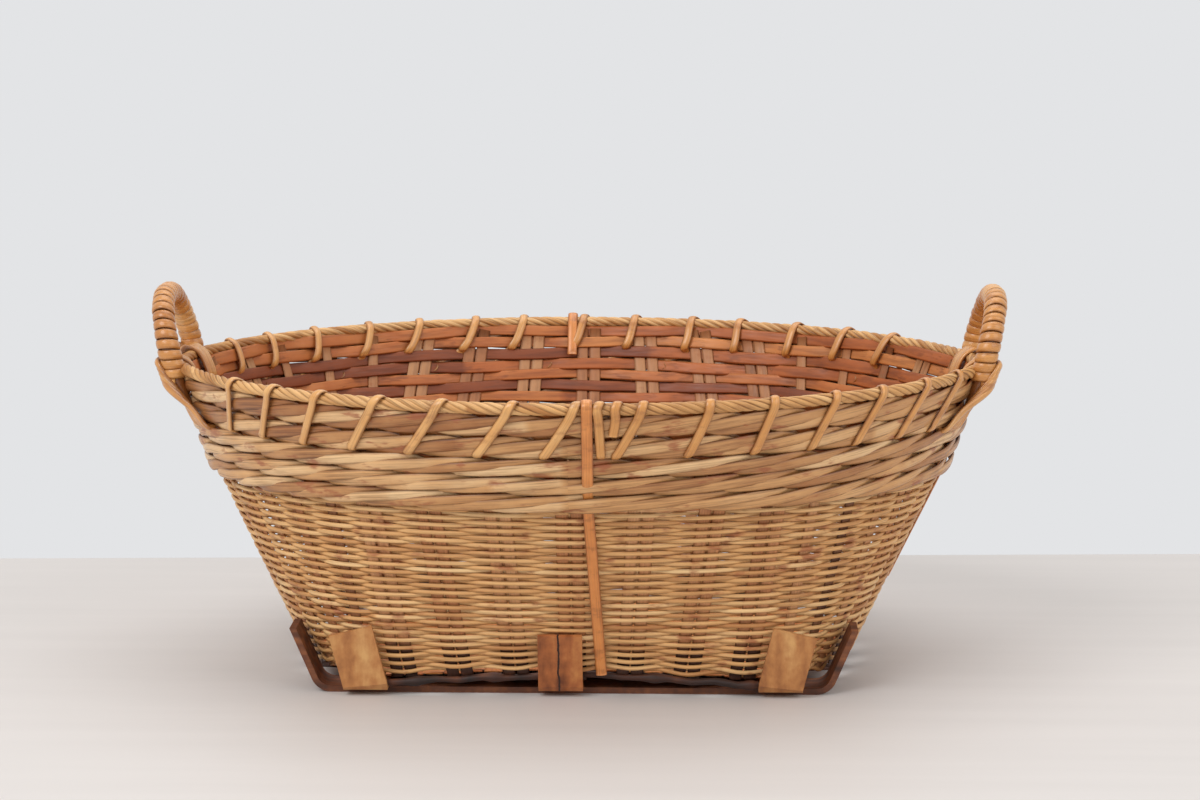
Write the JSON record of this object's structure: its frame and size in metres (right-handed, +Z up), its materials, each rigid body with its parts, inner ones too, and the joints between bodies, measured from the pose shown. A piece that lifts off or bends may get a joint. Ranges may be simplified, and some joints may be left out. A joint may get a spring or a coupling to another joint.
{
  "type": "two-handled oval rattan basket",
  "caption": "Open oval basket of woven rattan and split bamboo, flaring from a rectangular base to a lashed rope rim, with a cane-wrapped carrying handle at each end.",
  "frame": {"origin": "on the table plane, under the middle of the basket", "axes": "+Z up, +X along the basket's length towards the end with the short strap, -Y towards the front"},
  "size_m": [0.5332, 0.4066, 0.2314],
  "materials": {
    "band_bamboo": "flat split bamboo strips, tan with stains and pale streaks",
    "base_twig": "dark twig with knots",
    "cane": "split cane, golden orange, glossy",
    "handle_core": "bent rattan, dull brown",
    "inner_weave": "flat split bamboo weave, reddish brown, dull",
    "rim_splint": "twisted split bamboo, tan yellow",
    "runner_lath": "weathered bamboo lath, dark reddish brown",
    "slat_bamboo": "mottled brown bamboo lath, worn sheen",
    "stake_splint": "pale split bamboo, dull",
    "wicker": "fine round weavers, golden tan with reddish patches"
  },
  "bodies": {
    "root": {"base_mat": "inner_weave", "base_rod_back": "base_twig", "base_rod_front": "base_twig", "corner_stakes": "stake_splint", "crosswise_stakes": "stake_splint", "handle_binding_left_back": "cane", "handle_binding_left_front": "cane", "handle_binding_right_back": "cane", "handle_binding_right_front": "cane", "handle_core_left": "handle_core", "handle_core_right": "handle_core", "handle_wrap_left": "cane", "handle_wrap_right": "cane", "lashed_course_1": "band_bamboo", "lashed_course_2": "band_bamboo", "lashing_back_left": "cane", "lashing_back_right": "cane", "lashing_front_left": "cane", "lashing_front_right": "cane", "lengthwise_stakes": "stake_splint", "rim_rope": "rim_splint", "rim_weave": "inner_weave", "runner_back": "runner_lath", "runner_front": "runner_lath", "slat_left": "slat_bamboo", "slat_middle": "slat_bamboo", "slat_right": "slat_bamboo", "tie_back": "cane", "tie_front": "cane", "tie_right_end": "cane", "waist_weave": "inner_weave", "wale_course_1": "band_bamboo", "wale_course_2": "band_bamboo", "wicker_wall": "wicker"}
  },
  "joints": []
}
